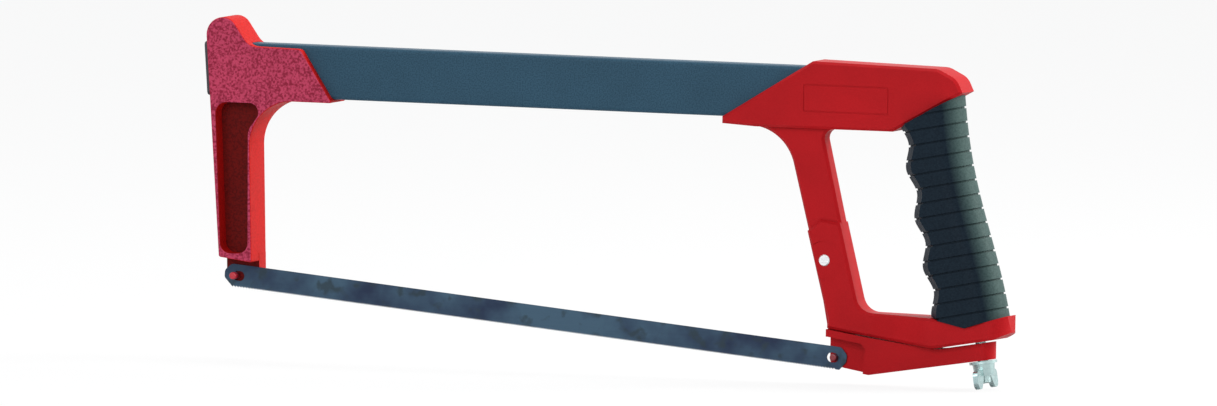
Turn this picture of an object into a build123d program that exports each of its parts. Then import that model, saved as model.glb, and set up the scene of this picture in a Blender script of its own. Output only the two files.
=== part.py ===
from build123d import *
from math import atan2, cos, pi, radians, sin
import os

# Hacksaw with a D handle. Millimetres. X runs back along the beam, Y across the saw, Z up.
# The origin is the axis of the front blade pin, in the saw's mid-plane.

# Blade: a standard 300 mm blade, hung on a pin at each end
BLADE_CENTRES = 300.0       # between the centres of the two blade holes
BLADE_WIDTH = 10.7
BLADE_THICK = 0.65
BLADE_RAKE = 5.08           # degrees that the blade falls towards the handle
BLADE_TAIL = 7.0            # from a hole's centre to the end of the blade
HOLE_LONG = 5.8
HOLE_WIDE = 4.6
TOOTH_PITCH = 1.41          # eighteen teeth to the inch
TOOTH_DEPTH = 0.75
PIN_RADIUS = 1.7
PIN_SEAT_GAP = 0.15         # left between a pin and the outer end of its hole
BLADE_SAG = 0.25            # the blade hangs this much below the middle of its pins
BLADE_SIDE_GAP = 0.12       # between the blade and the seats behind it
FRONT_PIN_REACH = 5.5       # how far each pin stands out of the blade
REAR_PIN_REACH = 2.6
PIN_ROOT = 5.0              # length of a blade pin held in its seat
PIN_TIP_ROUND = 0.5

# Beam: a rectangular steel tube
BEAM_HEIGHT = 25.0
BEAM_WIDTH = 12.0
BEAM_WALL = 1.5
BEAM_CORNER = 2.0
BEAM_BORE_CORNER = 0.7
BEAM_FLOOR = 84.8           # height of the beam's underside over the front pin
BEAM_BACK = 300.0           # rear end of the tube, inside the handle
SOCKET_GAP = 0.12           # all round the tube in its two sockets

# Front casting
FRONT_HALF = 10.0
FRONT_TOE = 9.0             # height of the casting's lower front corner
FRONT_KNOB = 121.7          # top of the knob
FRONT_LEG_BACK = 10.9       # rear edge of the leg at its foot
FRONT_THROAT = 21.0         # radius between the leg and the socket
FRONT_SNOUT = 50.1          # rear tip of the socket
POCKET_DEPTH = 8.5
POCKET_LIP = 1.9
EDGE_ROUND = 0.8

# End cap of the beam
CAP_FLANGE = 2.5
CAP_PLUG = 14.0
CAP_GAP = 0.15
CAP_WALL = 1.6
CAP_RIM = 0.2               # the flange is larger than the tube by this much all round
CAP_ROUND = 0.6
CAP_BORE_ROUND = 0.5

# Handle
HEAD_HALF = 8.8
HEAD_TIP = 245.4            # front tip of the socket
HEAD_TOP = 112.6
HEAD_BEVEL = 1.2
HEAD_DROP = 4.0             # from the beam's underside to the head's underside
ARM_HALF = 4.6
HOUSING_HALF = 6.5
RIM_HALF = 11.5
ARM_LEAN = 0.26             # run over fall of the arm's front edge
ARM_THROAT = 22.8
ARM_BEVEL = 1.3
LABEL_LONG = 43.0
LABEL_HIGH = 13.2
LABEL_LINE = 0.7
LABEL_DEPTH = 0.35

# Grip
GRIP_FOOT_X = 369.8
GRIP_FOOT_Z = -8.0
GRIP_TILT = 11.3            # degrees that the grip leans back at its foot
GRIP_LENGTH = 112.0
GRIP_HALF = 13.0
GRIP_DEPTH = 33.6           # mean size from front to back
GRIP_WAVE = 1.7             # height of the finger waves
GRIP_FINGER = 23.5          # spacing of the finger waves
GRIP_NOSE = 4.0             # half width of the flat at the front
GRIP_FACET = 6.0
RIB_PITCH = 6.85
RIB_GROOVE = 0.9
RIB_DEPTH = 0.8
CORE_HALF = 7.0
CORE_DEPTH = 18.0
CORE_ROUND = 3.0
CORE_START = -8.0           # below the grip's foot
CORE_LENGTH = 112.0
SLEEVE_GAP = 0.1
GRIP_TOP = 101.6            # height of the head's raked line on the grip's axis
GRIP_TOP_SLOPE = 0.325
GRIP_VEE = -1.8             # bottom of the V in the rim
GRIP_VEE_FRONT = 0.44
GRIP_VEE_BACK = 0.115

# Tension lever, its pivot and its screw
PIVOT_X = 297.0
PIVOT_Z = 19.0
PIVOT_RADIUS = 2.75
PIVOT_FIT = 0.03
PIVOT_BOSS = 9.2
PIVOT_BOSS_DEPTH = 0.5
BUSH_WALL = 0.75
LEVER_HALF = 6.0
LEVER_ARM_HALF = 2.5
LEVER_EYE = 5.3
LEVER_TAIL = 381.3
LEVER_GAP = 0.6             # under the rim
SLOT_SIDE_GAP = 0.3
SLOT_END_GAP = 1.0
CLIP_THICK = 0.6
CLIP_OUTER = 4.6
PIVOT_STAND = 1.6           # the pin stands out of the far side
PIVOT_CHAMFER = 0.4
STUD_X = 375.3              # where the stud leaves the lever's underside
STUD_Z = -25.3
STUD_TILT = 9.0
STUD_RADIUS = 2.5
STUD_ROOT = 22.0
STUD_TIP = 10.8
STUD_FIT = 0.05
STUD_PLAY = 0.3             # round the stud in the lever
STUD_CHAMFER = 0.5
STUD_SWING = 1.9            # the lever slides this far along the stud's hole
CROSS_PIN_RADIUS = 1.0
CROSS_PIN_HEIGHT = 13.0     # over the lever's underside
NUT_TAPER = 6.0
WASHER_RADIUS = 6.6
WASHER_THICK = 1.2
WASHER_GAP = 0.35
NUT_RADIUS = 5.3
NUT_HEIGHT = 5.6
NUT_GAP = 0.05
WING_SPAN = 26.0
WING_THICK = 2.4
WING_START = 2.2            # below the top of the nut
WING_HEIGHT = 9.6
SCREW_RADIUS = 2.5
SCREW_SOCKET = 1.25         # half the size across the key's flats
SCREW_FIT = 0.05
SCREW_SINK = 0.3            # below the casting's face
SCREW_CHAMFER = 0.3
SCREW_SOCKET_DEPTH = 2.5
FRONT_SCREW_X = 24.0
REAR_SCREWS_X = (274.0, 290.0)

BEAM_TOP = BEAM_FLOOR + BEAM_HEIGHT
BEAM_MIDDLE = BEAM_FLOOR + BEAM_HEIGHT / 2
HEAD_FLOOR = BEAM_FLOOR - HEAD_DROP
SEAT_Y = BLADE_THICK / 2 + BLADE_SIDE_GAP
PIN_OFFSET = HOLE_LONG / 2 - PIN_RADIUS - PIN_SEAT_GAP
PIN_CENTRES = BLADE_CENTRES + 2 * PIN_OFFSET
REAR_PIN_X = PIN_CENTRES * cos(radians(BLADE_RAKE))
REAR_PIN_Z = -PIN_CENTRES * sin(radians(BLADE_RAKE))
LEVER_SLOPE = sin(radians(STUD_TILT)) / cos(radians(STUD_TILT))

os.makedirs("parts", exist_ok=True)


def outline(corners):
    """A closed face in a plane's own X and Y. Each corner is (x, y) or (x, y, radius)."""
    points = [(corner[0], corner[1]) for corner in corners]
    radii = [corner[2] if len(corner) > 2 else 0 for corner in corners]
    if not any(radii):
        return make_face(Polyline(*points, close=True))
    return make_face(FilletPolyline(*points, radius=radii, close=True))


def slab(face, near, far):
    """A side view made solid, from Y = near to Y = far."""
    return extrude(Plane.XZ.offset(-far) * face, far - near)


def rod(x, z, radius, near, far):
    """A round bar across the saw."""
    return slab(Pos(x, z) * Circle(radius), near, far)


def edges_on_side(solid, y):
    """The edges of a slab that lie wholly in one of its side faces."""
    return solid.edges().filter_by_position(Axis.Y, y - 0.001, y + 0.001)


def along_beam(height, width, corner, start, end):
    """A rounded rectangular bar on the beam's centre line."""
    face = RectangleRounded(width, height, corner)
    return extrude(Plane(origin=(start, 0, BEAM_MIDDLE), x_dir=(0, 1, 0), z_dir=(1, 0, 0)) * face,
                   end - start)


def stud_plane(height):
    """Square to the stud, that far above the lever's underside. Its normal points up."""
    lean = radians(STUD_TILT)
    axis = Vector(-sin(lean), 0, cos(lean))
    return Plane(origin=Vector(STUD_X, 0, STUD_Z) + axis * height, x_dir=(0, 1, 0), z_dir=axis)


def grip_plane(height):
    """Square to the grip, with X to the back and Y across, that far above its foot."""
    lean = radians(GRIP_TILT)
    axis = Vector(-sin(lean), 0, cos(lean))
    return Plane(origin=Vector(GRIP_FOOT_X, 0, GRIP_FOOT_Z) + axis * height,
                 x_dir=(cos(lean), 0, sin(lean)), z_dir=axis)


def grip_side(across, height):
    """The side view's (x, z) of a point of the grip."""
    point = grip_plane(height).from_local_coords(Vector(across, 0, 0))
    return point.X, point.Z


def head_line(across):
    """Height up the grip of the raked line where the head meets it."""
    return GRIP_TOP + GRIP_TOP_SLOPE * across


def rim_line(across):
    """Height up the grip of the V where the rim meets it."""
    return GRIP_VEE + (GRIP_VEE_BACK * across if across > 0 else -GRIP_VEE_FRONT * across)


# ---- Front casting -------------------------------------------------------------------------

def front_edge(z):
    """X of the casting's raked front edge at a height."""
    rake = (14.2 - 5.6) / (FRONT_KNOB - FRONT_TOE)
    return -5.6 - rake * (z - FRONT_TOE)


def front_plane(clear):
    """The raked front face, its normal forwards and slightly down, moved out by clear."""
    top, low = front_edge(BEAM_TOP), front_edge(BEAM_FLOOR)
    lean = atan2(low - top, BEAM_HEIGHT)
    normal = Vector(-cos(lean), 0, -sin(lean))
    return Plane(origin=Vector(front_edge(BEAM_MIDDLE), 0, BEAM_MIDDLE) + normal * clear,
                 x_dir=(0, 1, 0), z_dir=normal)


def make_front_casting():
    cheek_top = BEAM_TOP - 1.7
    body = slab(outline([
        (front_edge(FRONT_KNOB), FRONT_KNOB, 8.4), (-1.3, FRONT_KNOB, 7.2),
        (8.0, cheek_top + 0.4, 8.0), (FRONT_SNOUT - 16.2, cheek_top, 3.0),
        (FRONT_SNOUT, BEAM_FLOOR - 1.5, 0.8),
        (FRONT_LEG_BACK - 2.4, BEAM_FLOOR - 1.5, FRONT_THROAT), (FRONT_LEG_BACK, FRONT_TOE - 2.2, 0.8),
        (front_edge(FRONT_TOE), FRONT_TOE, 1.0)]), -FRONT_HALF, FRONT_HALF)
    body = fillet(edges_on_side(body, -FRONT_HALF) + edges_on_side(body, FRONT_HALF), EDGE_ROUND)
    lug = slab(outline([
        (front_edge(FRONT_TOE) + 0.3, FRONT_TOE + 2), (-4.9, -3.6, 3.5),
        (FRONT_LEG_BACK + 0.4, -4.2, 3.5), (FRONT_LEG_BACK, FRONT_TOE + 2)]),
        SEAT_Y, FRONT_HALF - EDGE_ROUND)
    body += lug
    pocket = outline([
        (front_edge(76) + POCKET_LIP + 0.2, BEAM_FLOOR - 2.9, 5.5), (13.4, BEAM_FLOOR - 2.9, 4.5),
        (13.2, 76.0, 2.5), (FRONT_LEG_BACK - 2.7, 69.0, 8.0),
        (FRONT_LEG_BACK - POCKET_LIP, 10.8, 5.0),
        (front_edge(10.8) + POCKET_LIP - 0.9, 10.8, 5.0)])
    for near in (-FRONT_HALF, FRONT_HALF - POCKET_DEPTH):
        body -= slab(pocket, near, near + POCKET_DEPTH)
    body -= along_beam(BEAM_HEIGHT + 2 * SOCKET_GAP, BEAM_WIDTH + 2 * SOCKET_GAP,
                       BEAM_CORNER, front_edge(BEAM_TOP) - 5, FRONT_SNOUT + 5)
    body -= rod(0, 0, PIN_RADIUS, SEAT_Y, SEAT_Y + PIN_ROOT)
    body -= rod(FRONT_SCREW_X, BEAM_MIDDLE, SCREW_RADIUS + SCREW_FIT, 0, FRONT_HALF + 1)
    return body


# ---- Beam, end cap and set screws ----------------------------------------------------------

def make_beam_tube():
    start = front_edge(BEAM_TOP) - 5
    tube = along_beam(BEAM_HEIGHT, BEAM_WIDTH, BEAM_CORNER, start, BEAM_BACK)
    tube -= along_beam(BEAM_HEIGHT - 2 * BEAM_WALL, BEAM_WIDTH - 2 * BEAM_WALL,
                       BEAM_BORE_CORNER, start, BEAM_BACK)
    tube -= extrude(front_plane(0) * Rectangle(3 * BEAM_WIDTH, 2 * BEAM_HEIGHT), 20)
    for x in (FRONT_SCREW_X,) + REAR_SCREWS_X:
        tube -= rod(x, BEAM_MIDDLE, SCREW_RADIUS + SCREW_FIT, 0, BEAM_WIDTH)
    return tube


def make_end_cap():
    flange = extrude(front_plane(CAP_GAP) * RectangleRounded(
        BEAM_WIDTH + 2 * CAP_RIM, BEAM_HEIGHT + 2 * CAP_RIM, BEAM_CORNER), CAP_FLANGE)
    flange = fillet(flange.faces().sort_by(Axis.X)[0].edges(), CAP_ROUND)
    high = BEAM_HEIGHT - 2 * BEAM_WALL - 2 * CAP_GAP
    wide = BEAM_WIDTH - 2 * BEAM_WALL - 2 * CAP_GAP
    start = front_edge(BEAM_MIDDLE) - CAP_GAP - CAP_FLANGE / 2
    plug = along_beam(high, wide, CAP_ROUND, start, start + CAP_PLUG)
    hollow = along_beam(high - 2 * CAP_WALL, wide - 2 * CAP_WALL, CAP_BORE_ROUND,
                        start + CAP_FLANGE, start + CAP_PLUG + 1)
    return flange + plug - hollow


def make_set_screw(x, outer):
    """A socket set screw from the saw's far face to the inside of the beam's wall."""
    inner = BEAM_WIDTH / 2 - BEAM_WALL
    head = outer - SCREW_SINK
    screw = rod(x, BEAM_MIDDLE, SCREW_RADIUS, inner, head)
    screw = chamfer(edges_on_side(screw, head), SCREW_CHAMFER)
    socket = Pos(x, BEAM_MIDDLE) * RegularPolygon(SCREW_SOCKET, 6, major_radius=False)
    return screw - slab(socket, outer - SCREW_SOCKET_DEPTH, outer)


# ---- Blade and its pins --------------------------------------------------------------------

def make_blade():
    half = BLADE_WIDTH / 2
    first, last = -BLADE_TAIL + 4.5, BLADE_CENTRES + BLADE_TAIL - 4.5
    teeth = int((last - first) / TOOTH_PITCH)
    edge = []
    for tooth in range(teeth):
        start = first + tooth * TOOTH_PITCH
        edge.append((start, -half))
        edge.append((start + 0.25 * TOOTH_PITCH, -half + TOOTH_DEPTH))
    edge.append((first + teeth * TOOTH_PITCH, -half))
    left, right = -BLADE_TAIL, BLADE_CENTRES + BLADE_TAIL
    body = make_face(Polyline(*edge, (right - 3.2, -half), (right, -half + 4.0), (right, half - 3.2),
                              (right - 3.2, half), (left + 3.2, half), (left, half - 3.2),
                              (left, -half + 4.0), close=True))
    ends = body.vertices().filter_by(lambda v: v.Y > -half + 3.9)
    body = fillet(ends, 2.4)
    for centre in (0, BLADE_CENTRES):
        body -= Pos(centre, 0) * SlotOverall(HOLE_LONG, HOLE_WIDE)
    rake = radians(BLADE_RAKE)
    along, down = Vector(cos(rake), 0, -sin(rake)), Vector(-sin(rake), 0, -cos(rake))
    hang = Plane(origin=along * PIN_OFFSET + down * BLADE_SAG + Vector(0, BLADE_THICK / 2, 0),
                 x_dir=along, z_dir=(0, -1, 0))
    return extrude(hang * body, BLADE_THICK)


def make_blade_pin(x, z, reach):
    """A round pin across the saw, its root in a seat and its tip past the blade."""
    tip = -BLADE_THICK / 2 - reach
    pin = rod(x, z, PIN_RADIUS, tip, SEAT_Y + PIN_ROOT)
    return fillet(edges_on_side(pin, tip), PIN_TIP_ROUND)


# ---- Handle --------------------------------------------------------------------------------

def arm_front(z):
    """X of the arm's straight front edge at a height."""
    return 275.6 + ARM_LEAN * (HEAD_FLOOR - z)


def rim_belly(drop):
    """Corners of the rim's underside from front to back, lowered by drop."""
    return [(318.6, -15.8 - drop, 12.0), (354.0, -20.1 - drop, 14.0), (383.6, -14.9 - drop)]


def make_head():
    head = slab(outline([
        (HEAD_TIP, HEAD_FLOOR + 0.9), (HEAD_TIP, BEAM_FLOOR + 0.1),
        (290.5, HEAD_TOP), (353.5, HEAD_TOP - 1.2, 9.0), (362.8, HEAD_TOP - 5.8, 8.0),
        grip_side(17.3, head_line(17.3)), grip_side(-20.6, head_line(-20.6)), (262.0, HEAD_FLOOR, 5.0)]),
        -HEAD_HALF, HEAD_HALF)
    head = chamfer(edges_on_side(head, -HEAD_HALF) + edges_on_side(head, HEAD_HALF), HEAD_BEVEL)
    label = Pos(307.8, BEAM_MIDDLE - 2.0) * (
        RectangleRounded(LABEL_LONG, LABEL_HIGH, 1.2)
        - RectangleRounded(LABEL_LONG - 2 * LABEL_LINE, LABEL_HIGH - 2 * LABEL_LINE, 0.6))
    for near in (-HEAD_HALF, HEAD_HALF - LABEL_DEPTH):
        head -= slab(label, near, near + LABEL_DEPTH)
    return head


def make_arm():
    arm = slab(outline([
        (252.0, HEAD_FLOOR + 3), (252.0, HEAD_FLOOR + 0.2), (275.6, HEAD_FLOOR + 0.2, ARM_THROAT),
        (arm_front(28), 28), (306.6, 28), (294.2, HEAD_FLOOR - 0.1, 4.5),
        (304.0, HEAD_FLOOR - 0.1), (304.0, HEAD_FLOOR + 3)]), -ARM_HALF, ARM_HALF)
    return chamfer(edges_on_side(arm, -ARM_HALF) + edges_on_side(arm, ARM_HALF), ARM_BEVEL)


def make_lower_body():
    """The housing that the lever turns in and the rim under the grip, as one casting."""
    side = outline([
        (arm_front(32.5), 32.5), (294.6, 38.4, 1.5), (304.4, 37.0), (314.9, -4.7, 8.5),
        grip_side(-17.0, rim_line(-17.0)), grip_side(0, GRIP_VEE), grip_side(20.0, rim_line(20.0)),
        (390.3, -11.6)]
        + rim_belly(0)[::-1] + [(298.7, -12.7), (arm_front(-8.4), -8.4)])
    plan = outline([
        (280, -HOUSING_HALF), (322, -HOUSING_HALF, 20), (350, -RIM_HALF, 20),
        (390.2, -RIM_HALF, 10.5), (390.2, RIM_HALF, 10.5), (350, RIM_HALF, 20),
        (322, HOUSING_HALF, 20), (280, HOUSING_HALF)])
    body = slab(side, -RIM_HALF, RIM_HALF) & extrude(Plane.XY.offset(-40) * plan, 100)
    return chamfer(edges_on_side(body, -HOUSING_HALF) + edges_on_side(body, HOUSING_HALF), ARM_BEVEL)


def make_core():
    """The bar inside the grip, from the rim to the head."""
    bar = RectangleRounded(CORE_DEPTH, 2 * CORE_HALF, CORE_ROUND)
    return extrude(grip_plane(CORE_START) * bar, CORE_LENGTH)


def lever_slot():
    """The room for the lever's arm between the housing's cheeks, open to the front and below."""
    wall = PIVOT_X + LEVER_EYE + SLOT_END_GAP
    return slab(outline([
        (270, PIVOT_Z + LEVER_EYE + SLOT_END_GAP), (wall, PIVOT_Z + LEVER_EYE + SLOT_END_GAP, 5.0),
        (wall, PIVOT_Z - 2, 8.0), (wall + 7.6, -8.0, 8.0), (wall + 8.0, -30), (270, -30)]),
        -LEVER_ARM_HALF - SLOT_SIDE_GAP, LEVER_ARM_HALF + SLOT_SIDE_GAP)


def make_handle():
    handle = make_head() + make_arm() + make_lower_body() + make_core()
    handle -= along_beam(BEAM_HEIGHT + 2 * SOCKET_GAP, BEAM_WIDTH + 2 * SOCKET_GAP,
                         BEAM_CORNER, HEAD_TIP - 5, BEAM_BACK + SOCKET_GAP)
    handle -= lever_slot()
    handle -= rod(PIVOT_X, PIVOT_Z, PIVOT_RADIUS + PIVOT_FIT, -RIM_HALF, RIM_HALF)
    for near in (-HOUSING_HALF, HOUSING_HALF - PIVOT_BOSS_DEPTH):
        handle -= rod(PIVOT_X, PIVOT_Z, PIVOT_BOSS, near, near + PIVOT_BOSS_DEPTH)
    handle -= extrude(stud_plane(0) * Circle(STUD_RADIUS + STUD_FIT), STUD_ROOT + STUD_FIT)
    handle -= cross_pin(STUD_FIT, 1)
    for x in REAR_SCREWS_X:
        handle -= rod(x, BEAM_MIDDLE, SCREW_RADIUS + SCREW_FIT, 0, HEAD_HALF + 1)
    return handle


# ---- Grip ----------------------------------------------------------------------------------

def grip_section(height, inset):
    """The grip's section at a height: a flat nose, two facets, flat sides and a round back."""
    wave = GRIP_WAVE * cos(2 * pi * (height - 6.0) / GRIP_FINGER)
    nose = -GRIP_DEPTH / 2 - wave + inset
    back = 15.6 + 2.6 * cos(2 * pi * (height - 2.0) / 150) - inset
    half = GRIP_HALF - inset
    centre = back - half
    with BuildSketch() as section:
        with BuildLine():
            Polyline((centre, half), (nose + GRIP_FACET, half), (nose, GRIP_NOSE),
                     (nose, -GRIP_NOSE), (nose + GRIP_FACET, -half), (centre, -half))
            ThreePointArc((centre, -half), (back, 0), (centre, half))
        make_face()
    return grip_plane(height) * section.sketch


def grip_body(inset):
    """The grip's body, smaller by inset, running past both ends of the sleeve."""
    step = GRIP_FINGER / 4
    sections = [grip_section(-12 + step * i, inset) for i in range(int((GRIP_LENGTH + 24) / step) + 1)]
    return loft(sections)


def grip_reach():
    """Side view of the sleeve: from the raked line under the head to the V on the rim."""
    return slab(outline([
        grip_side(-30, head_line(-30) - SLEEVE_GAP), grip_side(24, head_line(24) - SLEEVE_GAP),
        grip_side(24, rim_line(24) + SLEEVE_GAP), grip_side(0, GRIP_VEE + SLEEVE_GAP),
        grip_side(-30, rim_line(-30) + SLEEVE_GAP)]), -20, 20)


def make_grip():
    """The sleeve, with grooves between its ribs and the room for the bar inside."""
    sleeve = grip_body(0)
    skin = sleeve - grip_body(RIB_DEPTH)
    count = int(GRIP_LENGTH / RIB_PITCH)
    for rib in range(count):
        height = 4.2 + rib * RIB_PITCH
        sleeve -= skin & extrude(grip_plane(height) * Rectangle(80, 60), RIB_GROOVE)
    sleeve = sleeve & grip_reach()
    sleeve -= extrude(grip_plane(-10) * RectangleRounded(CORE_DEPTH + 2 * SLEEVE_GAP,
                      2 * CORE_HALF + 2 * SLEEVE_GAP, CORE_ROUND + SLEEVE_GAP), 130)
    return sleeve


# ---- Lever, pivot and screw ----------------------------------------------------------------

def make_lever():
    foot = STUD_Z - LEVER_SLOPE * (STUD_X - 320)
    bar = slab(outline([
        (298.4, -12.7 - LEVER_GAP)] + rim_belly(LEVER_GAP)[:2]
        + [(LEVER_TAIL, -15.5 - LEVER_GAP), (LEVER_TAIL, STUD_Z + LEVER_SLOPE * (LEVER_TAIL - STUD_X)),
           (320.0, foot, 3.0), (305.6, foot + 2.4, 3.0), (298.4, -29.8, 2.5)]),
        -LEVER_HALF, LEVER_HALF)
    tail = bar.edges().filter_by(Axis.Z).sort_by(Axis.X)[-2:]
    bar = fillet(tail, LEVER_HALF - 0.4)
    bar -= slab(outline([
        (290, -16.8), (299, -16.8), (316.0, -19.5, 2.0), (318.3, -22.0, 1.5), (317.0, -36), (290, -36)]),
        -LEVER_HALF - 1, SEAT_Y)
    arm = slab(outline([
        (PIVOT_X - LEVER_EYE + 0.1, PIVOT_Z), (298.5, -15), (310.4, -17.5), (309.4, -8.0, 6.0),
        (PIVOT_X + LEVER_EYE - 0.1, PIVOT_Z)]), -LEVER_ARM_HALF, LEVER_ARM_HALF)
    lever = bar + arm + rod(PIVOT_X, PIVOT_Z, LEVER_EYE, -LEVER_ARM_HALF, LEVER_ARM_HALF)
    lever -= rod(PIVOT_X, PIVOT_Z, PIVOT_RADIUS + BUSH_WALL, -LEVER_HALF, LEVER_HALF)
    lever -= rod(REAR_PIN_X, REAR_PIN_Z, PIN_RADIUS, 0, SEAT_Y + PIN_ROOT)
    room = STUD_RADIUS + STUD_PLAY
    hole = Pos(0, -STUD_SWING / 2) * SlotOverall(2 * room + STUD_SWING, 2 * room, rotation=90)
    lever -= extrude(stud_plane(-3) * hole, 20)
    return lever


def make_bush():
    bush = rod(PIVOT_X, PIVOT_Z, PIVOT_RADIUS + BUSH_WALL, -LEVER_ARM_HALF, LEVER_ARM_HALF)
    return bush - rod(PIVOT_X, PIVOT_Z, PIVOT_RADIUS + PIVOT_FIT, -LEVER_HALF, LEVER_HALF)


def make_pivot_pin():
    pin = rod(PIVOT_X, PIVOT_Z, PIVOT_RADIUS, -HOUSING_HALF, HOUSING_HALF + PIVOT_STAND)
    return chamfer(edges_on_side(pin, -HOUSING_HALF), PIVOT_CHAMFER)


def make_pivot_clip():
    seat = HOUSING_HALF - PIVOT_BOSS_DEPTH
    clip = rod(PIVOT_X, PIVOT_Z, CLIP_OUTER, seat, seat + CLIP_THICK)
    return clip - rod(PIVOT_X, PIVOT_Z, PIVOT_RADIUS, seat - 1, seat + 2)


def make_stud():
    shank = extrude(stud_plane(-STUD_TIP) * Circle(STUD_RADIUS), STUD_TIP + STUD_ROOT)
    tip = shank.edges().filter_by(GeomType.CIRCLE).sort_by(Axis.Z)[0]
    return chamfer(tip, STUD_CHAMFER) - cross_pin(STUD_FIT, 1)


def cross_pin(clear, extra):
    """The pin that locks the stud in the rim, or its hole when clear and extra are given."""
    centre = stud_plane(CROSS_PIN_HEIGHT).origin
    return rod(centre.X, centre.Z, CROSS_PIN_RADIUS + clear, -CORE_HALF - extra, CORE_HALF + extra)


def make_washer():
    ring = Circle(WASHER_RADIUS) - Circle(STUD_RADIUS + STUD_PLAY)
    return extrude(stud_plane(-WASHER_GAP) * ring, -WASHER_THICK)


def make_wing_nut():
    top = -WASHER_GAP - WASHER_THICK - NUT_GAP
    nut = extrude(stud_plane(top) * Circle(NUT_RADIUS), -NUT_HEIGHT, taper=NUT_TAPER)
    lean = radians(STUD_TILT)
    forward = Vector(-cos(lean), 0, -sin(lean))
    side = Plane(origin=stud_plane(top).origin + forward * (WING_THICK / 2),
                 x_dir=(0, 1, 0), z_dir=-forward)
    for hand in (1, -1):
        low, tip = -WING_START, -WING_START - WING_HEIGHT
        wing = outline([
            (hand * 2.9, low), (hand * 6.5, low - 0.4, 2.0), (hand * WING_SPAN / 2, low - 1.0, 2.2),
            (hand * WING_SPAN / 2, tip, 3.0), (hand * 8.2, tip + 0.4, 2.6), (hand * 4.4, -NUT_HEIGHT),
            (hand * 2.9, -NUT_HEIGHT)])
        nut += extrude(side * wing, WING_THICK)
    return nut - extrude(stud_plane(top + 1) * Circle(STUD_RADIUS + STUD_FIT), -NUT_HEIGHT - 20)


pieces = {
    "front_casting": make_front_casting(),
    "beam_tube": make_beam_tube(),
    "beam_end_cap": make_end_cap(),
    "front_beam_screw": make_set_screw(FRONT_SCREW_X, FRONT_HALF),
    "rear_beam_screws": Compound([make_set_screw(x, HEAD_HALF) for x in REAR_SCREWS_X]),
    "hacksaw_blade": make_blade(),
    "front_blade_pin": make_blade_pin(0, 0, FRONT_PIN_REACH),
    "rear_blade_pin": make_blade_pin(REAR_PIN_X, REAR_PIN_Z, REAR_PIN_REACH),
    "handle_frame": make_handle(),
    "grip_sleeve": make_grip(),
    "tension_lever": make_lever(),
    "lever_bush": make_bush(),
    "pivot_pin": make_pivot_pin(),
    "pivot_clip": make_pivot_clip(),
    "tension_stud": make_stud(),
    "stud_cross_pin": cross_pin(0, 0),
    "stud_washer": make_washer(),
    "wing_nut": make_wing_nut(),
}
for name, piece in pieces.items():
    export_step(piece, f"parts/{name}.step")
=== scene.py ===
import math

import bpy
from mathutils import Matrix, Vector


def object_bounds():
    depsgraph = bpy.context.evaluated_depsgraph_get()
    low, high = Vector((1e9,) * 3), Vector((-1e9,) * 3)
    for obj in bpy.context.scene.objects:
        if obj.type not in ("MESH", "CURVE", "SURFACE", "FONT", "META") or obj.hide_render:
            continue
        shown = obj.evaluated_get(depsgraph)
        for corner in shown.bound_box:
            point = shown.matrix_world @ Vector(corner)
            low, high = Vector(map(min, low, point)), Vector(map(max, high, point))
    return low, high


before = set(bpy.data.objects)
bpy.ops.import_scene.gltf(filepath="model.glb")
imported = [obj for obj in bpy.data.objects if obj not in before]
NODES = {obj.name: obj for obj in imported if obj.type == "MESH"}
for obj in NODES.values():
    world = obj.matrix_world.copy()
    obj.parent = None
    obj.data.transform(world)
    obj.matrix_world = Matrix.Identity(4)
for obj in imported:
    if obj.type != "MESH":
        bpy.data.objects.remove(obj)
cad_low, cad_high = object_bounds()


# ---- Camera, light and floor -----------------------------------------------------------

VIEW_AZIMUTH = math.radians(20.8)
VIEW_ELEVATION = math.radians(4.0)
VIEW_ROLL = math.radians(0.91)
VIEW_WIDTH = 0.5712
VIEW_RIGHT, VIEW_UP = 0.17447, 0.03379    # the picture's middle, measured from the front pin
VIEW_DISTANCE = 3.0


def make_camera():
    a, e, roll = VIEW_AZIMUTH, VIEW_ELEVATION, VIEW_ROLL
    level = Vector((math.cos(a), math.sin(a), 0))
    upright = Vector((-math.sin(a) * math.sin(e), math.cos(a) * math.sin(e), math.cos(e)))
    back = Vector((math.sin(a) * math.cos(e), -math.cos(a) * math.cos(e), math.sin(e)))
    right = level * math.cos(roll) + upright * math.sin(roll)
    up = upright * math.cos(roll) - level * math.sin(roll)
    place = right * VIEW_RIGHT + up * VIEW_UP + back * VIEW_DISTANCE
    bpy.ops.object.camera_add()
    camera = bpy.context.object
    camera.name = "camera"
    camera.data.type = "ORTHO"
    camera.data.ortho_scale = VIEW_WIDTH
    camera.data.clip_end = 20
    camera.matrix_world = Matrix((
        (right.x, up.x, back.x, place.x), (right.y, up.y, back.y, place.y),
        (right.z, up.z, back.z, place.z), (0, 0, 0, 1)))
    bpy.context.scene.camera = camera


def make_lamp(name, place, aim, size, power, colour):
    bpy.ops.object.light_add(type="AREA", location=place)
    lamp = bpy.context.object
    lamp.name = name
    lamp.data.shape = "RECTANGLE"
    lamp.data.size, lamp.data.size_y = size
    lamp.data.energy = power
    lamp.data.color = colour
    lamp.rotation_euler = (Vector(aim) - Vector(place)).to_track_quat("-Z", "Y").to_euler()


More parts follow.
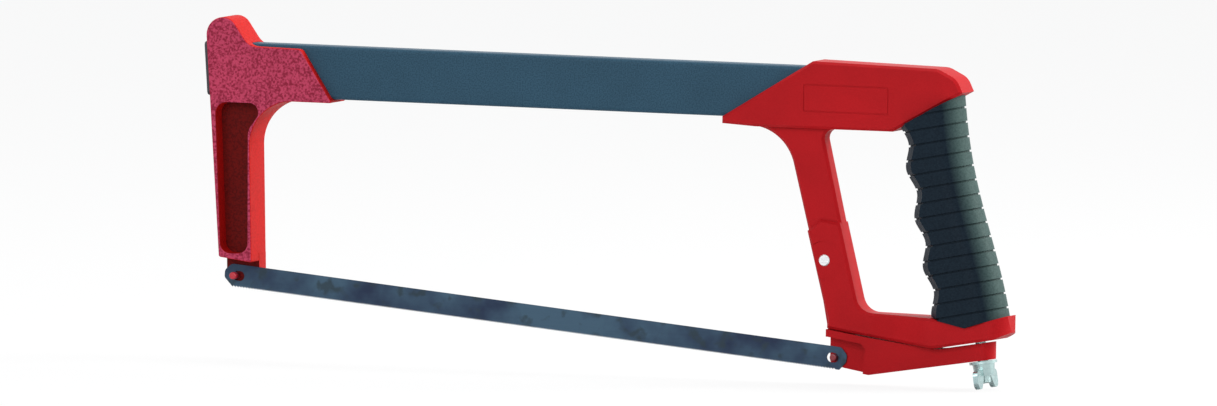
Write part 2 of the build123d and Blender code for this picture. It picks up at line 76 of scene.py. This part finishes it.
def make_world():
    """Even light all round, and a white background where the camera or a reflection sees it."""
    world = bpy.data.worlds.new("studio")
    bpy.context.scene.world = world
    world.use_nodes = True
    tree = world.node_tree
    tree.nodes.clear()
    path = tree.nodes.new("ShaderNodeLightPath")
    ambient = tree.nodes.new("ShaderNodeBackground")
    ambient.inputs["Color"].default_value = (0.92, 0.96, 1.0, 1)
    ambient.inputs["Strength"].default_value = 0.40
    white = tree.nodes.new("ShaderNodeBackground")
    white.inputs["Color"].default_value = (1, 1, 1, 1)
    white.inputs["Strength"].default_value = 1.0
    mirrored = tree.nodes.new("ShaderNodeMath")
    mirrored.operation = "MAXIMUM"
    tree.links.new(path.outputs["Is Glossy Ray"], mirrored.inputs[0])
    tree.links.new(path.outputs["Is Transmission Ray"], mirrored.inputs[1])
    seen = tree.nodes.new("ShaderNodeMath")
    seen.operation = "MAXIMUM"
    tree.links.new(path.outputs["Is Camera Ray"], seen.inputs[0])
    tree.links.new(mirrored.outputs[0], seen.inputs[1])
    mix = tree.nodes.new("ShaderNodeMixShader")
    out = tree.nodes.new("ShaderNodeOutputWorld")
    tree.links.new(seen.outputs[0], mix.inputs["Fac"])
    tree.links.new(ambient.outputs[0], mix.inputs[1])
    tree.links.new(white.outputs[0], mix.inputs[2])
    tree.links.new(mix.outputs[0], out.inputs["Surface"])


def make_floor(height):
    """A plain pale floor. The camera sees it almost white, with the soft shadow kept."""
    bpy.ops.mesh.primitive_plane_add(size=1, location=(0.2, 0, height))
    floor = bpy.context.object
    floor.name = "floor"
    floor.scale = (6, 6, 1)
    bpy.ops.object.transform_apply(location=True, rotation=False, scale=True)
    material = bpy.data.materials.new("floor_card")
    material.use_nodes = True
    tree = material.node_tree
    shader = tree.nodes["Principled BSDF"]
    shader.inputs["Base Color"].default_value = (0.58, 0.58, 0.58, 1)
    shader.inputs["Roughness"].default_value = 0.9
    shader.inputs["Specular IOR Level"].default_value = 0.1
    glow = tree.nodes.new("ShaderNodeEmission")
    glow.inputs["Strength"].default_value = 1.06
    path = tree.nodes.new("ShaderNodeLightPath")
    seen = tree.nodes.new("ShaderNodeMath")
    seen.operation = "MULTIPLY"
    seen.inputs[1].default_value = 0.84
    mix = tree.nodes.new("ShaderNodeMixShader")
    tree.links.new(path.outputs["Is Camera Ray"], seen.inputs[0])
    tree.links.new(seen.outputs[0], mix.inputs["Fac"])
    tree.links.new(shader.outputs[0], mix.inputs[1])
    tree.links.new(glow.outputs[0], mix.inputs[2])
    tree.links.new(mix.outputs[0], tree.nodes["Material Output"].inputs["Surface"])
    floor.data.materials.append(material)


make_camera()
make_world()
make_floor(cad_low.z - 0.0008)
make_lamp("key_right", (1.6, 0.9, 0.9), (0.25, 0, 0.05), (0.9, 0.9), 32, (1.0, 0.98, 0.96))
make_lamp("front_fill", (0.1, -1.8, 0.7), (0.2, 0, 0.04), (1.6, 1.0), 16, (0.95, 0.97, 1.0))
make_lamp("top_strip", (0.3, 0.3, 1.6), (0.2, 0, 0.05), (1.4, 0.5), 14, (1.0, 1.0, 1.0))
bpy.context.scene.view_settings.view_transform = "Standard"


# ---- Shared effects --------------------------------------------------------------------

def new_group(name, inputs, outputs):
    """An empty shader node group with named float, colour or vector sockets."""
    kinds = {"value": "NodeSocketFloat", "colour": "NodeSocketColor", "vector": "NodeSocketVector"}
    group = bpy.data.node_groups.new(name, "ShaderNodeTree")
    for socket, kind in inputs:
        group.interface.new_socket(socket, in_out="INPUT", socket_type=kinds[kind])
    for socket, kind in outputs:
        group.interface.new_socket(socket, in_out="OUTPUT", socket_type=kinds[kind])
    entry = group.nodes.new("NodeGroupInput")
    exit_ = group.nodes.new("NodeGroupOutput")
    return group, entry, exit_


def new_noise(tree, vector, scale, detail=3.0):
    """A noise texture whose scale comes from a socket or a number."""
    noise = tree.nodes.new("ShaderNodeTexNoise")
    noise.inputs["Detail"].default_value = detail
    tree.links.new(vector, noise.inputs["Vector"])
    if isinstance(scale, (int, float)):
        noise.inputs["Scale"].default_value = scale
    else:
        tree.links.new(scale, noise.inputs["Scale"])
    return noise.outputs["Fac"]


def new_map(tree, value, low, high, to_low, to_high):
    """Moves a value from one range to another. Each end is a number or a socket."""
    node = tree.nodes.new("ShaderNodeMapRange")
    tree.links.new(value, node.inputs["Value"])
    for socket, end in (("From Min", low), ("From Max", high), ("To Min", to_low), ("To Max", to_high)):
        if isinstance(end, (int, float)):
            node.inputs[socket].default_value = end
        else:
            tree.links.new(end, node.inputs[socket])
    return node.outputs["Result"]


def new_mix(tree, factor, first, second):
    """Mixes two colours, each a socket or a plain colour."""
    node = tree.nodes.new("ShaderNodeMix")
    node.data_type = "RGBA"
    tree.links.new(factor, node.inputs["Factor"])
    for socket, colour in ((node.inputs[6], first), (node.inputs[7], second)):
        if isinstance(colour, tuple):
            socket.default_value = colour
        else:
            tree.links.new(colour, socket)
    return node.outputs[2]


def new_bump(tree, height, strength, distance):
    node = tree.nodes.new("ShaderNodeBump")
    node.inputs["Distance"].default_value = distance
    tree.links.new(height, node.inputs["Height"])
    if isinstance(strength, (int, float)):
        node.inputs["Strength"].default_value = strength
    else:
        tree.links.new(strength, node.inputs["Strength"])
    return node.outputs["Normal"]


def make_grain_group():
    """Powder coat: speckled colour and roughness with a fine orange peel."""
    group, entry, exit_ = new_group(
        "powder_grain",
        [("Position", "vector"), ("Colour", "colour"), ("Speck", "colour"), ("Amount", "value"),
         ("Grain Size", "value"), ("Relief", "value"), ("Roughness", "value")],
        [("Colour", "colour"), ("Roughness", "value"), ("Normal", "vector")])
    grain = new_noise(group, entry.outputs["Position"], entry.outputs["Grain Size"], 2.0)
    cloud = new_noise(group, entry.outputs["Position"], 38.0, 4.0)
    speck = new_map(group, grain, 0.42, 0.62, 0.0, entry.outputs["Amount"])
    colour = new_mix(group, speck, entry.outputs["Colour"], entry.outputs["Speck"])
    shade = group.nodes.new("ShaderNodeHueSaturation")
    group.links.new(new_map(group, cloud, 0.3, 0.7, 0.93, 1.06), shade.inputs["Value"])
    group.links.new(colour, shade.inputs["Color"])
    rough = group.nodes.new("ShaderNodeMath")
    rough.operation = "MULTIPLY"
    group.links.new(entry.outputs["Roughness"], rough.inputs[0])
    group.links.new(new_map(group, cloud, 0.3, 0.7, 0.9, 1.12), rough.inputs[1])
    group.links.new(shade.outputs[0], exit_.inputs["Colour"])
    group.links.new(rough.outputs[0], exit_.inputs["Roughness"])
    group.links.new(new_bump(group, grain, entry.outputs["Relief"], 0.0002), exit_.inputs["Normal"])
    return group


def make_mottle_group():
    """Heat-coloured steel: two colours in soft clouds, with darker patches and long rolling marks."""
    group, entry, exit_ = new_group(
        "steel_mottle",
        [("Position", "vector"), ("Light", "colour"), ("Dark", "colour"), ("Patch", "colour"),
         ("Roughness", "value")],
        [("Colour", "colour"), ("Roughness", "value"), ("Normal", "vector")])
    cloud = new_noise(group, entry.outputs["Position"], 34.0, 5.0)
    patch = new_noise(group, entry.outputs["Position"], 120.0, 3.0)
    stretch = group.nodes.new("ShaderNodeMapping")
    stretch.inputs["Scale"].default_value = (30, 30, 1400)
    group.links.new(entry.outputs["Position"], stretch.inputs["Vector"])
    streak = new_noise(group, stretch.outputs[0], 1.0, 2.0)
    base = new_mix(group, new_map(group, cloud, 0.38, 0.62, 0.0, 1.0),
                   entry.outputs["Dark"], entry.outputs["Light"])
    spotted = new_mix(group, new_map(group, patch, 0.56, 0.66, 0.0, 0.75), base, entry.outputs["Patch"])
    rough = group.nodes.new("ShaderNodeMath")
    rough.operation = "MULTIPLY"
    group.links.new(entry.outputs["Roughness"], rough.inputs[0])
    group.links.new(new_map(group, streak, 0.3, 0.7, 0.85, 1.2), rough.inputs[1])
    group.links.new(spotted, exit_.inputs["Colour"])
    group.links.new(rough.outputs[0], exit_.inputs["Roughness"])
    group.links.new(new_bump(group, streak, 0.12, 0.0001), exit_.inputs["Normal"])
    return group


GRAIN = make_grain_group()
MOTTLE = make_mottle_group()


# ---- Materials -------------------------------------------------------------------------

def new_material(name, metallic=0.0, coat=0.0, coat_roughness=0.1, specular=0.5):
    material = bpy.data.materials.new(name)
    material.use_nodes = True
    shader = material.node_tree.nodes["Principled BSDF"]
    shader.inputs["Metallic"].default_value = metallic
    shader.inputs["Coat Weight"].default_value = coat
    shader.inputs["Coat Roughness"].default_value = coat_roughness
    shader.inputs["Specular IOR Level"].default_value = specular
    return material, material.node_tree, shader


def object_position(tree):
    return tree.nodes.new("ShaderNodeTexCoord").outputs["Object"]


def place_group(tree, group, values):
    """A group in a material, with plain values or links on its inputs."""
    node = tree.nodes.new("ShaderNodeGroup")
    node.node_tree = group
    for socket, value in values.items():
        if isinstance(value, bpy.types.NodeSocket):
            tree.links.new(value, node.inputs[socket])
        else:
            node.inputs[socket].default_value = value
    return node


def join_surface(tree, shader, node):
    tree.links.new(node.outputs["Colour"], shader.inputs["Base Color"])
    tree.links.new(node.outputs["Roughness"], shader.inputs["Roughness"])
    tree.links.new(node.outputs["Normal"], shader.inputs["Normal"])


def side_mask(tree):
    """One on surfaces that face across the saw, nought on its edges."""
    facing = tree.nodes.new("ShaderNodeSeparateXYZ")
    tree.links.new(tree.nodes.new("ShaderNodeTexCoord").outputs["Normal"], facing.inputs[0])
    size = tree.nodes.new("ShaderNodeMath")
    size.operation = "ABSOLUTE"
    tree.links.new(facing.outputs["Y"], size.inputs[0])
    return new_map(tree, size.outputs[0], 0.6, 0.9, 0.0, 1.0)


def make_front_paint():
    """Bright red paint on the edges. On the two side faces a rose tone that is a painted pinkish sheen, and deep
    red in the pockets that is painted shade.
    """
    material, tree, shader = new_material("front_hammered_paint", specular=0.08)
    sheen_and_shade_mask, position = side_mask(tree), object_position(tree)
    across = tree.nodes.new("ShaderNodeSeparateXYZ")
    tree.links.new(position, across.inputs[0])
    reach = tree.nodes.new("ShaderNodeMath")
    reach.operation = "ABSOLUTE"
    tree.links.new(across.outputs["Y"], reach.inputs[0])
    # Painted shade and sheen by depth: nought in the pockets (painted shade), one on the side faces beyond 9 mm
    # (painted rose sheen).
    pocket_shade_to_sheen = new_map(tree, reach.outputs[0], 0.0070, 0.0090, 0.0, 1.0)
    face = new_mix(tree, pocket_shade_to_sheen, (0.15, 0.005, 0.004, 1), (0.56, 0.060, 0.125, 1))
    speck_sheen_and_shade = new_mix(tree, pocket_shade_to_sheen, (0.09, 0.003, 0.003, 1), (0.24, 0.013, 0.035, 1))
    # Edges keep the paint's own red. Faces across the saw take the painted rose sheen, and in the pockets the
    # painted shade.
    colour = new_mix(tree, sheen_and_shade_mask, (0.60, 0.012, 0.010, 1), face)
    speck = new_mix(tree, sheen_and_shade_mask, (0.48, 0.008, 0.006, 1), speck_sheen_and_shade)
    grain = place_group(tree, GRAIN, {
        "Position": position, "Colour": colour, "Speck": speck, "Amount": 0.9,
        "Grain Size": 1050.0, "Relief": 0.30, "Roughness": 0.5})
    join_surface(tree, shader, grain)
    return material


def make_handle_paint():
    material, tree, shader = new_material("handle_satin_paint", specular=0.08)
    grain = place_group(tree, GRAIN, {
        "Position": object_position(tree), "Colour": (0.48, 0.009, 0.013, 1),
        "Speck": (0.42, 0.006, 0.009, 1), "Amount": 0.5, "Grain Size": 1500.0, "Relief": 0.10,
        "Roughness": 0.42})
    join_surface(tree, shader, grain)
    return material


def make_beam_paint():
    material, tree, shader = new_material("beam_satin_paint", specular=0.1)
    grain = place_group(tree, GRAIN, {
        "Position": object_position(tree), "Colour": (0.036, 0.090, 0.138, 1),
        "Speck": (0.022, 0.060, 0.094, 1), "Amount": 0.8, "Grain Size": 1500.0, "Relief": 0.14,
        "Roughness": 0.42})
    join_surface(tree, shader, grain)
    return material


def make_rubber():
    """Black rubber, with a painted grey-green sheen on faces that point backwards along +X."""
    material, tree, shader = new_material("grip_rubber", specular=0.06)
    facing = tree.nodes.new("ShaderNodeSeparateXYZ")
    tree.links.new(tree.nodes.new("ShaderNodeTexCoord").outputs["Normal"], facing.inputs[0])
    # Painted sheen: a grey-green highlight of the key light, mixed in where the normal points along +X.
    rear_painted_sheen = new_map(tree, facing.outputs["X"], 0.45, 0.9, 0.0, 1.0)
    grain = place_group(tree, GRAIN, {
        "Position": object_position(tree),
        "Colour": new_mix(tree, rear_painted_sheen, (0.010, 0.019, 0.029, 1), (0.070, 0.115, 0.108, 1)),
        "Speck": new_mix(tree, rear_painted_sheen, (0.006, 0.012, 0.020, 1), (0.045, 0.080, 0.075, 1)), "Amount": 0.6, "Grain Size": 900.0, "Relief": 0.25,
        "Roughness": 0.48})
    join_surface(tree, shader, grain)
    return material


def make_plastic():
    material, tree, shader = new_material("black_plastic")
    grain = place_group(tree, GRAIN, {
        "Position": object_position(tree), "Colour": (0.03, 0.03, 0.04, 1),
        "Speck": (0.02, 0.02, 0.025, 1), "Amount": 0.5, "Grain Size": 1800.0, "Relief": 0.2,
        "Roughness": 0.45})
    join_surface(tree, shader, grain)
    return material


def make_blade_steel():
    material, tree, shader = new_material("blued_blade_steel", metallic=0.6)
    mottle = place_group(tree, MOTTLE, {
        "Position": object_position(tree), "Light": (0.045, 0.092, 0.140, 1),
        "Dark": (0.012, 0.024, 0.058, 1), "Patch": (0.020, 0.036, 0.046, 1), "Roughness": 0.45})
    join_surface(tree, shader, mottle)
    return material


def make_pin_paint():
    material, tree, shader = new_material("pin_red_paint", coat=0.3, coat_roughness=0.2)
    position = object_position(tree)
    across = tree.nodes.new("ShaderNodeSeparateXYZ")
    tree.links.new(position, across.inputs[0])
    # Painted shade: the red darkens toward the pin's root next to the blade, where the hole shades it.
    root_painted_shade = new_map(tree, across.outputs["Y"], -0.0048, -0.0022, 0.0, 1.0)
    colour = new_mix(tree, root_painted_shade, (0.55, 0.012, 0.030, 1), (0.11, 0.006, 0.012, 1))
    grain = place_group(tree, GRAIN, {
        "Position": position, "Colour": colour,
        "Speck": (0.30, 0.008, 0.016, 1), "Amount": 0.3, "Grain Size": 1500.0, "Relief": 0.2,
        "Roughness": 0.35})
    join_surface(tree, shader, grain)
    return material


def make_metal(name, light, dark, patch, roughness):
    """Plain metal with faint clouds and drawn marks."""
    material, tree, shader = new_material(name, metallic=1.0)
    mottle = place_group(tree, MOTTLE, {
        "Position": object_position(tree), "Light": light, "Dark": dark, "Patch": patch,
        "Roughness": roughness})
    join_surface(tree, shader, mottle)
    return material


def make_materials():
    handle = make_handle_paint()
    zinc = make_metal("bright_zinc", (0.50, 0.66, 0.65, 1), (0.40, 0.54, 0.54, 1), (0.34, 0.46, 0.47, 1), 0.30)
    steel = make_metal("ground_steel", (0.86, 0.87, 0.88, 1), (0.78, 0.79, 0.80, 1), (0.72, 0.73, 0.74, 1), 0.25)
    black = make_metal("black_screw_steel", (0.06, 0.06, 0.065, 1), (0.04, 0.04, 0.045, 1),
                       (0.03, 0.03, 0.03, 1), 0.4)
    bronze = make_metal("bush_bronze", (0.62, 0.42, 0.18, 1), (0.52, 0.34, 0.14, 1), (0.45, 0.30, 0.12, 1), 0.35)
    pin = make_pin_paint()
    return {
        "front_casting": make_front_paint(), "beam_tube": make_beam_paint(),
        "beam_end_cap": make_plastic(), "front_beam_screw": black, "rear_beam_screws": black,
        "hacksaw_blade": make_blade_steel(), "front_blade_pin": pin, "rear_blade_pin": pin,
        "handle_frame": handle, "grip_sleeve": make_rubber(), "tension_lever": handle,
        "lever_bush": bronze, "pivot_pin": steel, "pivot_clip": black, "tension_stud": zinc,
        "stud_cross_pin": black, "stud_washer": zinc, "wing_nut": zinc}


def dress_cad_nodes(materials):
    """Gives each kept CAD node its material and smooth shading below a crease angle."""
    for name, node in NODES.items():
        node.data.materials.clear()
        node.data.materials.append(materials[name])
        bpy.ops.object.select_all(action="DESELECT")
        node.select_set(True)
        bpy.context.view_layer.objects.active = node
        bpy.ops.object.shade_smooth_by_angle(angle=math.radians(28))


MATERIALS = make_materials()
dress_cad_nodes(MATERIALS)
